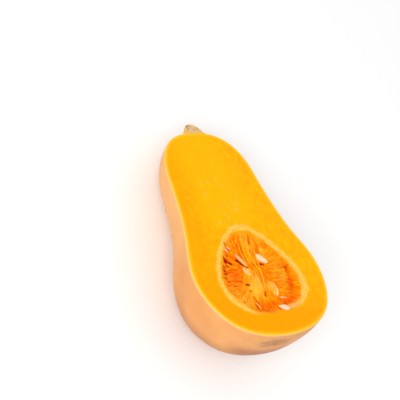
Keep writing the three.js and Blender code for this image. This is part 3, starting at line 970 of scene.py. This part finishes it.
def makeSeeds():
    segments, rings = seedShape["segments"], seedShape["rings"]
    bpy.ops.mesh.primitive_uv_sphere_add(segments=segments, ring_count=rings, radius=1)
    model = named("seedModel")
    outs = [math.hypot(vertex.co.x, vertex.co.y) for vertex in model.data.vertices]
    for vertex in model.data.vertices:
        vertex.co = seedPoint(vertex.co)
    paint(model, "margin", outs)
    made = []
    for i, (x, y, z, heading, roll, tip, size, cover, bareSide, bareFrom) in enumerate(seedPlaces):
        seed = model.copy()
        seed.data = model.data.copy()
        bpy.context.scene.collection.objects.link(seed)
        turn = (
            Matrix.Translation((x, y, z))
            @ Matrix.Rotation(math.radians(heading), 4, "Z")
            @ Matrix.Rotation(math.radians(tip), 4, "X")
            @ Matrix.Rotation(math.radians(roll), 4, "Y")
            @ Matrix.Scale(size, 4)
        )
        seed.data.transform(turn)
        out = points(seed) - np.array((x, y, z))
        side = math.radians(bareSide)
        facing = (out[:, 0] * math.cos(side) + out[:, 1] * math.sin(side)) / (seedShape["length"] / 2 * size)
        paint(seed, "cover", cover * (1 - np.clip((facing - bareFrom) / 0.2, 0, 1)))
        seed.name = f"seed{i + 1}"
        made.append(seed)
    bpy.data.objects.remove(model)
    return made


seeds = makeSeeds()
print("seeds modelled", len(seeds))


# Materials

def newMaterial(name):
    material = bpy.data.materials.new(name)
    material.use_nodes = True
    material.node_tree.nodes.clear()
    return material, material.node_tree


class Nodes:
    # a short way to add and link shader nodes

    def __init__(self, tree):
        self.tree = tree
        self.place = self.inCutFrame()

    def add(self, kind, **settings):
        node = self.tree.nodes.new(kind)
        for key, value in settings.items():
            setattr(node, key, value)
        return node

    def link(self, source, target):
        self.tree.links.new(source, target)

    def inCutFrame(self):
        # object coordinates turned and centred so that patterns read millimetres in the cut frame
        coordinates = self.add("ShaderNodeTexCoord")
        mapping = self.add("ShaderNodeMapping", vector_type="POINT")
        back = tilt.to_3x3().inverted()
        mapping.inputs["Scale"].default_value = (1000, 1000, 1000)
        mapping.inputs["Rotation"].default_value = (math.radians(restPose["tilt"]), 0, 0)
        mapping.inputs["Location"].default_value = -(back @ blossomEnd) * 1000
        self.link(coordinates.outputs["Object"], mapping.inputs["Vector"])
        return mapping.outputs["Vector"]

    def stretched(self, x, y, z):
        mapping = self.add("ShaderNodeMapping", vector_type="POINT")
        mapping.inputs["Scale"].default_value = (x, y, z)
        self.link(self.place, mapping.inputs["Vector"])
        return mapping.outputs["Vector"]

    def noise(self, size, detail=3.0, roughness=0.55, vector=None):
        node = self.add("ShaderNodeTexNoise")
        node.inputs["Scale"].default_value = 1 / size
        node.inputs["Detail"].default_value = detail
        node.inputs["Roughness"].default_value = roughness
        self.link(vector or self.place, node.inputs["Vector"])
        return node.outputs["Fac"]

    def attribute(self, name):
        return self.add("ShaderNodeAttribute", attribute_name=name).outputs["Fac"]

    def rangeOf(self, value, low, high, toLow=0.0, toHigh=1.0, smooth=False):
        node = self.add("ShaderNodeMapRange")
        node.interpolation_type = "SMOOTHSTEP" if smooth else "LINEAR"
        self.link(value, node.inputs["Value"])
        for key, number in zip(("From Min", "From Max", "To Min", "To Max"), (low, high, toLow, toHigh)):
            node.inputs[key].default_value = number
        return node.outputs["Result"]

    def math(self, operation, a, b=None):
        node = self.add("ShaderNodeMath", operation=operation)
        for socket, value in zip(node.inputs, (a, b)):
            if isinstance(value, (int, float)):
                socket.default_value = value
            elif value is not None:
                self.link(value, socket)
        return node.outputs["Value"]

    def ramp(self, value, stops):
        node = self.add("ShaderNodeValToRGB")
        ramp = node.color_ramp
        while len(ramp.elements) < len(stops):
            ramp.elements.new(0.5)
        for element, (position, colour) in zip(ramp.elements, stops):
            element.position = position
            element.color = linear(colour)
        self.link(value, node.inputs["Fac"])
        return node.outputs["Color"]

    def mix(self, share, a, b, blend="MIX"):
        node = self.add("ShaderNodeMix", data_type="RGBA", blend_type=blend)
        if isinstance(share, (int, float)):
            node.inputs[0].default_value = share
        else:
            self.link(share, node.inputs[0])
        for index, value in ((6, a), (7, b)):
            if isinstance(value, tuple):
                node.inputs[index].default_value = linear(value)
            else:
                self.link(value, node.inputs[index])
        return node.outputs[2]

    def bandShare(self, y):
        # lumpy and soft edged, and fading out below the cavity
        lumpy = self.math("ADD", self.rangeOf(self.noise(6.5, 2), 0.3, 0.7, -0.45, 0.45),
                          self.rangeOf(self.noise(1.2, 3, 0.7), 0.3, 0.7, -0.22, 0.22))
        across = self.math("ABSOLUTE", self.math("ADD", self.attribute("fromBand"), lumpy))
        patches = self.rangeOf(self.noise(3.6, 4, 0.65), 0.34, 0.56, 0.6, 1.0)
        share = self.math("MULTIPLY", self.rangeOf(across, 1.55, 0.45, 0, 1, True), patches)
        return self.math("MULTIPLY", share, self.rangeOf(y, 20.5, 27, 0, 1, True))

    def bandColour(self):
        pale = self.rangeOf(self.noise(2.0, 3), 0.45, 0.62)
        return self.mix(pale, fleshLook["band"], fleshLook["bandPale"])

    def bump(self, height, strength, distance, normal=None):
        node = self.add("ShaderNodeBump")
        node.inputs["Strength"].default_value = strength
        node.inputs["Distance"].default_value = distance
        self.link(height, node.inputs["Height"])
        if normal is not None:
            self.link(normal, node.inputs["Normal"])
        return node.outputs["Normal"]

    def surface(self, colour, roughness, normal, **plain):
        shader = self.add("ShaderNodeBsdfPrincipled")
        output = self.add("ShaderNodeOutputMaterial")
        self.link(colour, shader.inputs["Base Color"])
        if isinstance(roughness, (int, float)):
            shader.inputs["Roughness"].default_value = roughness
        else:
            self.link(roughness, shader.inputs["Roughness"])
        self.link(normal, shader.inputs["Normal"])
        for name, value in plain.items():
            shader.inputs[name.replace("_", " ")].default_value = value
        self.link(shader.outputs["BSDF"], output.inputs["Surface"])


def linear(colour):
    # from screen values of 0 to 255 to the shader's own
    parts = [part / 255 for part in colour]
    return tuple(p / 12.92 if p <= 0.04045 else ((p + 0.055) / 1.055) ** 2.4 for p in parts) + (1.0,)


rindLook = {
    "peach": (225, 157, 88),
    "tan": (211, 137, 68),
    "pink": (231, 164, 102),
    "speck": (192, 122, 66),
    # paler rind by the cut, partly its own colour and partly a painted highlight
    "byCutPaleAndHighlight": (248, 200, 128),
    "neck": (246, 186, 118),
    # painted shade for the rind low down and under the blossom end
    "low": (160, 92, 42),
    # scar browns, partly the scar's own and partly painted shade round the end
    "scar": (186, 124, 66),
    "scarAndShadeDark": (150, 98, 50),
}


def rindMaterial():
    material, tree = newMaterial("rind")
    n = Nodes(tree)
    broad = n.noise(38, 2)
    colour = n.mix(n.rangeOf(broad, 0.35, 0.65), rindLook["tan"], rindLook["peach"])
    blush = n.rangeOf(n.noise(62, 2, vector=n.stretched(1, 0.6, 1)), 0.5, 0.68, 0, 0.6)
    colour = n.mix(blush, colour, rindLook["pink"])
    streaks = n.rangeOf(n.noise(3.2, 3, vector=n.stretched(1, 0.07, 1)), 0.35, 0.7, 0, 0.16)
    colour = n.mix(streaks, colour, rindLook["tan"])
    specks = n.rangeOf(n.noise(1.3, 2), 0.67, 0.75, 0, 0.5)
    colour = n.mix(specks, colour, rindLook["speck"])
    separate = n.add("ShaderNodeSeparateXYZ")
    n.link(n.place, separate.inputs[0])
    x, y, z = separate.outputs
    # lighter up the neck; paler by the cut, partly the rind's own colour and partly a painted highlight where
    # its edge catches the light; and painted shade low down on the bulb and under the blossom end
    colour = n.mix(n.rangeOf(y, 44, 130, 0, 0.6, True), colour, rindLook["neck"])
    # paler by the cut, partly the rind's own colour and partly a painted highlight on the edge
    colour = n.mix(n.rangeOf(z, -2.6, -0.4, 0, 0.75, True), colour, rindLook["byCutPaleAndHighlight"])
    # painted shade low down on the bulb
    paintedShadeLowDown = n.math("MULTIPLY", n.rangeOf(z, -26, -46, 0, 0.5, True), n.rangeOf(y, 90, 50, 0.2, 1, True))
    colour = n.mix(paintedShadeLowDown, colour, rindLook["low"])
    # painted shade under the blossom end
    paintedShadeUnderEnd = n.math("MULTIPLY", n.rangeOf(z, -15, -34, 0, 0.85, True), n.rangeOf(y, 16, 5, 0, 1, True))
    colour = n.mix(paintedShadeUnderEnd, colour, rindLook["low"])
    # the blossom scar, painted wider than the scar itself: its browns are partly the scar's own and partly
    # painted shade round the end
    across = n.math("DIVIDE", n.math("SUBTRACT", x, fruit["scar"]["x"]), 17.0)
    down = n.math("DIVIDE", n.math("SUBTRACT", z, fruit["scar"]["z"]), 8.0)
    fromScar = n.math("SQRT", n.math("ADD", n.math("POWER", across, 2.0), n.math("POWER", down, 2.0)))
    ragged = n.math("ADD", fromScar, n.rangeOf(n.noise(3.4, 4, 0.6), 0.3, 0.7, -0.35, 0.35))
    atEnd = n.rangeOf(y, 8, 22, 1, 0)
    scar = n.math("MULTIPLY", n.rangeOf(ragged, 0.3, 1.2, 0.8, 0.0, True), atEnd)
    mottled = n.mix(n.rangeOf(n.noise(1.5, 3), 0.42, 0.6), rindLook["scar"], rindLook["scarAndShadeDark"])
    colour = n.mix(scar, colour, mottled)
    pores = n.noise(0.55, 2)
    normal = n.bump(pores, 0.10, 0.0002)
    normal = n.bump(n.noise(2.4, 3, vector=n.stretched(1, 0.12, 1)), 0.12, 0.0005, normal)
    roughness = n.rangeOf(n.noise(9, 3), 0.3, 0.7, 0.40, 0.54)
    n.surface(colour, roughness, normal, Specular_IOR_Level=0.32, Subsurface_Weight=0.08,
              Subsurface_Radius=(1.0, 0.4, 0.15), Subsurface_Scale=0.002)
    return material


fleshLook = {
    "main": (255, 170, 0),
    "light": (255, 186, 0),
    "deep": (253, 154, 0),
    "edge": (250, 198, 76),
    "underRind": (252, 190, 28),
    "speck": (252, 186, 74),
    "band": (254, 190, 66),
    "bandPale": (254, 206, 118),
    "wall": (250, 138, 2),
    "shine": (255, 170, 30),
}


def fleshMaterial():
    material, tree = newMaterial("flesh")
    n = Nodes(tree)
    separate = n.add("ShaderNodeSeparateXYZ")
    n.link(n.place, separate.inputs[0])
    x, y, z = separate.outputs
    mottle = n.noise(11, 3, 0.6)
    colour = n.mix(n.rangeOf(mottle, 0.38, 0.62, 0, 0.5), fleshLook["main"], fleshLook["light"])
    fibrous = n.noise(3.6, 4, 0.7, n.stretched(1, 0.6, 1))
    colour = n.mix(n.rangeOf(fibrous, 0.5, 0.62, 0, 0.65), colour, fleshLook["light"])
    colour = n.mix(n.rangeOf(fibrous, 0.47, 0.36, 0, 0.5), colour, fleshLook["deep"])
    inNeck = n.rangeOf(n.math("ABSOLUTE", x), 12, 36, 1, 0, True)
    inNeck = n.math("MULTIPLY", n.rangeOf(y, 92, 116, 0, 1, True), inNeck)
    colour = n.mix(n.math("MULTIPLY", inNeck, 0.6), colour, fleshLook["light"])
    colour = n.mix(n.rangeOf(x, -18, -48, 0, 0.5, True), colour, fleshLook["deep"])
    low = n.rangeOf(n.math("ADD", y, n.math("MULTIPLY", x, 0.2)), 62, 10, 0, 0.8, True)
    colour = n.mix(low, colour, fleshLook["deep"])
    speckled = n.rangeOf(n.noise(3.4, 3, 0.5, n.stretched(1, 0.55, 1)), 0.56, 0.68)
    speckZone = n.rangeOf(n.noise(16, 2), 0.4, 0.56)
    speckPlace = n.math("MULTIPLY", n.rangeOf(y, 96, 110, 0, 1, True), n.rangeOf(y, 166, 146, 0, 1, True))
    aside = n.math("ABSOLUTE", n.math("ADD", x, 1.5))
    speckPlace = n.math("MULTIPLY", speckPlace, n.rangeOf(aside, 22, 9, 0, 1, True))
    specks = n.math("MULTIPLY", n.math("MULTIPLY", speckled, speckZone), n.math("MULTIPLY", speckPlace, 0.8))
    colour = n.mix(specks, colour, fleshLook["speck"])
    # the pale band round the cavity, and the wall below its rim
    colour = n.mix(n.bandShare(y), colour, n.bandColour())
    colour = n.mix(n.rangeOf(n.attribute("below"), 0.4, 1.5, 0, 1, True), colour, fleshLook["wall"])
    # from the rind inwards: a pale line, then a yellow one
    fromRind = n.attribute("fromRind")
    wander = n.math("ADD", fromRind, n.rangeOf(n.noise(6, 2), 0.3, 0.7, -0.25, 0.25))
    colour = n.mix(n.rangeOf(wander, 1.3, 4.0, 0.8, 0, True), colour, fleshLook["underRind"])
    colour = n.mix(n.rangeOf(wander, 0.5, 1.7, 0.92, 0, True), colour, fleshLook["edge"])
    grain = n.noise(0.8, 3, 0.6)
    normal = n.bump(grain, 0.22, 0.0003)
    roughness = n.rangeOf(n.noise(5, 3), 0.3, 0.7, 0.38, 0.55)
    n.surface(colour, roughness, normal, Specular_IOR_Level=0.07, Specular_Tint=linear(fleshLook["shine"]),
              Subsurface_Weight=0.12, Subsurface_Radius=(1.0, 0.45, 0.08), Subsurface_Scale=0.003)
    return material


stemLook = {
    "cork": (218, 178, 120),
    "pale": (240, 200, 160),
    "grey": (184, 158, 88),
    "crack": (128, 86, 44),
    "foot": (240, 188, 76),
}


def stemMaterial():
    material, tree = newMaterial("stemCork")
    n = Nodes(tree)
    separate = n.add("ShaderNodeSeparateXYZ")
    n.link(n.place, separate.inputs[0])
    patches = n.noise(3.4, 4, 0.6)
    colour = n.mix(n.rangeOf(patches, 0.42, 0.6), stemLook["cork"], stemLook["pale"])
    colour = n.mix(n.rangeOf(n.noise(2.1, 3), 0.52, 0.66, 0, 0.7), colour, stemLook["grey"])
    fibrous = n.noise(1.1, 4, 0.7, n.stretched(1, 0.45, 1))
    colour = n.mix(n.rangeOf(fibrous, 0.54, 0.62, 0, 0.85), colour, stemLook["crack"])
    colour = n.mix(n.rangeOf(fibrous, 0.44, 0.36, 0, 0.5), colour, stemLook["pale"])
    # the flesh runs up into its foot and along its sides
    x, y, _ = separate.outputs
    fromMiddle = n.math("ABSOLUTE", n.math("SUBTRACT", x, stem["x"] + 0.5 * stem["leanX"]))
    ragged = n.math("ADD", fromMiddle, n.rangeOf(patches, 0.3, 0.7, -1.5, 1.5))
    colour = n.mix(n.rangeOf(ragged, 4.5, 8.0, 0, 0.7, True), colour, stemLook["foot"])
    colour = n.mix(n.rangeOf(y, 207.5, 204.0, 0, 0.8, True), colour, stemLook["foot"])
    normal = n.bump(fibrous, 0.5, 0.0006)
    normal = n.bump(n.noise(1.6, 4, 0.65), 0.4, 0.0008, normal)
    n.surface(colour, n.rangeOf(patches, 0.3, 0.7, 0.7, 0.85), normal, Specular_IOR_Level=0.25)
    return material


pulpLook = {
    "deep": (251, 116, 0),
    "orange": (254, 146, 0),
    "light": (255, 172, 14),
    "pale": (255, 190, 54),
    # redder places, and the deep pulp's colour with painted shade in the hollows
    "flushAndDepthShade": (250, 98, 0),
    # the red of torn pulp with painted shade at the edges of slits, then painted shade in their middles
    "tornRedAndShade": (228, 62, 0),
    "rim": (255, 166, 8),
    "darkShade": (136, 14, 6),
    "shine": (255, 160, 40),
}


def pulpMaterial():
    material, tree = newMaterial("pulp")
    n = Nodes(tree)
    tone, tint, depth = n.attribute("tone"), n.attribute("tint"), n.attribute("depth")
    colour = n.ramp(tone, ((0.15, pulpLook["deep"]), (0.5, pulpLook["orange"]), (0.9, pulpLook["light"])))
    toPale = n.math("MULTIPLY", n.rangeOf(tint, 0, 1), n.rangeOf(tone, 0.1, 0.6, 0.7, 1.0))
    colour = n.mix(toPale, colour, pulpLook["pale"])
    colour = n.mix(n.rangeOf(tint, 0, -1, 0, 0.75), colour, pulpLook["flushAndDepthShade"])
    colour = n.mix(n.math("MULTIPLY", n.attribute("rim"), 0.75), colour, pulpLook["rim"])
    separate = n.add("ShaderNodeSeparateXYZ")
    n.link(n.place, separate.inputs[0])
    colour = n.mix(n.bandShare(separate.outputs["Y"]), colour, n.bandColour())
    # deeper pulp redder and darker, partly its own colour and partly painted shade in the hollows
    colour = n.mix(n.rangeOf(depth, 3.3, 4.3, 0, 0.9, True), colour, pulpLook["flushAndDepthShade"])
    # painted shade in the slits and nicks: red at their edges, dark in the middle
    paintedSlitShade = n.attribute("paintedSlitShade")
    colour = n.mix(n.rangeOf(paintedSlitShade, 0.02, 0.5, 0, 0.85), colour, pulpLook["tornRedAndShade"])
    colour = n.mix(n.rangeOf(paintedSlitShade, 0.3, 0.9), colour, pulpLook["darkShade"])
    normal = n.bump(n.noise(0.6, 3), 0.25, 0.0003)
    n.surface(colour, n.rangeOf(n.noise(2.5, 2), 0.3, 0.7, 0.3, 0.46), normal, Specular_IOR_Level=0.15,
              Specular_Tint=linear(pulpLook["shine"]), Subsurface_Weight=0.25,
              Subsurface_Radius=(1.0, 0.8, 0.5), Subsurface_Scale=0.001)
    return material


seedLook = {
    "face": (255, 218, 188),
    "margin": (253, 198, 126),
    "juice": (253, 168, 44),
}


def seedMaterial():
    material, tree = newMaterial("seedCoat")
    n = Nodes(tree)
    margin = n.attribute("margin")
    streak = n.noise(1.2, 3)
    colour = n.mix(n.rangeOf(margin, 0.72, 0.9, 0, 0.75, True), seedLook["face"], seedLook["margin"])
    colour = n.mix(n.rangeOf(streak, 0.52, 0.7, 0, 0.35), colour, seedLook["margin"])
    separate = n.add("ShaderNodeSeparateXYZ")
    n.link(n.place, separate.inputs[0])
    uneven = n.rangeOf(n.noise(1.8, 3), 0.3, 0.7, -0.6, 0.6)
    sunk = n.rangeOf(n.math("ADD", separate.outputs["Z"], uneven), -2.2, -3.6, 0, 0.7, True)
    clinging = n.math("MULTIPLY", n.attribute("cover"), n.rangeOf(uneven, -0.6, 0.6, 0.6, 1.4))
    colour = n.mix(n.math("MINIMUM", n.math("ADD", sunk, clinging), 1.0), colour, seedLook["juice"])
    normal = n.bump(n.noise(0.5, 3), 0.15, 0.0002)
    n.surface(colour, n.rangeOf(streak, 0.3, 0.7, 0.24, 0.4), normal, Specular_IOR_Level=0.4,
              Subsurface_Weight=0.15, Subsurface_Radius=(1.0, 0.8, 0.6), Subsurface_Scale=0.001)
    return material


def dress(piece, *materials):
    piece.data.materials.clear()
    for material in materials:
        piece.data.materials.append(material)


indices = np.empty(len(squashHalf.data.polygons), np.int32)
squashHalf.data.polygons.foreach_get("material_index", indices)
dress(squashHalf, rindMaterial(), fleshMaterial())
squashHalf.data.polygons.foreach_set("material_index", indices)
dress(stemStub, stemMaterial())
pulpStuff, seedStuff = pulpMaterial(), seedMaterial()
dress(pulpBed, pulpStuff)
dress(pulpFibres, pulpStuff)
for seed in seeds:
    dress(seed, seedStuff)
print("materials made")


# Each piece goes to its place, rides on the one body and stands for its solid

for piece, node, slot in (
    (squashHalf, "squash_half", "rind_and_flesh"),
    (stemStub, "stem_stub", "stem_cork"),
    (pulpBed, "seed_bed", "pulp_and_seeds"),
    (pulpFibres, "seed_bed", "pulp_and_seeds"),
    *((seed, "seed_bed", "pulp_and_seeds") for seed in seeds),
):
    layDown(piece)
    bpy.ops.object.shade_smooth_by_angle(angle=math.radians(38))
    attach(piece, "root")
    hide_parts(node)
pressFlat(squashHalf)
print("pieces in place")


# The studio: a pale floor, a white room and soft lights

studio = {
    "floor": (251, 251, 251),
    "floorSize": 8.0,
    "room": 0.79,
    "softboxes": (
        # place, what it points at, size, watts
        ((-0.85, -0.4, 0.95), (0, 0, 0.04), 0.8, 8.5),
        ((0.7, 0.5, 1.0), (0, 0, 0.04), 0.8, 1.0),
    ),
}


def makeStudio():
    bpy.ops.mesh.primitive_plane_add(size=studio["floorSize"], location=(0, 0, 0))
    floor = named("floor")
    material, tree = newMaterial("paleFloor")
    n = Nodes(tree)
    faint = n.noise(400, 2)
    colour = n.mix(n.rangeOf(faint, 0.4, 0.6, 0, 0.05), studio["floor"], (248, 248, 248))
    n.surface(colour, 0.9, n.bump(faint, 0.01, 0.001), Specular_IOR_Level=0.1)
    dress(floor, material)
    world = bpy.data.worlds.new("whiteRoom")
    bpy.context.scene.world = world
    world.use_nodes = True
    background = world.node_tree.nodes["Background"]
    background.inputs["Color"].default_value = (1, 1, 1, 1)
    background.inputs["Strength"].default_value = studio["room"]
    for i, (place, target, size, watts) in enumerate(studio["softboxes"]):
        data = bpy.data.lights.new(f"softbox{i + 1}", "AREA")
        data.shape = "SQUARE"
        data.size = size
        data.energy = watts
        light = bpy.data.objects.new(f"softbox{i + 1}", data)
        bpy.context.scene.collection.objects.link(light)
        light.location = place
        light.rotation_euler = (Vector(target) - Vector(place)).to_track_quat("-Z", "Y").to_euler()
    bpy.context.scene.view_settings.view_transform = "Standard"


makeStudio()
print("studio lit")
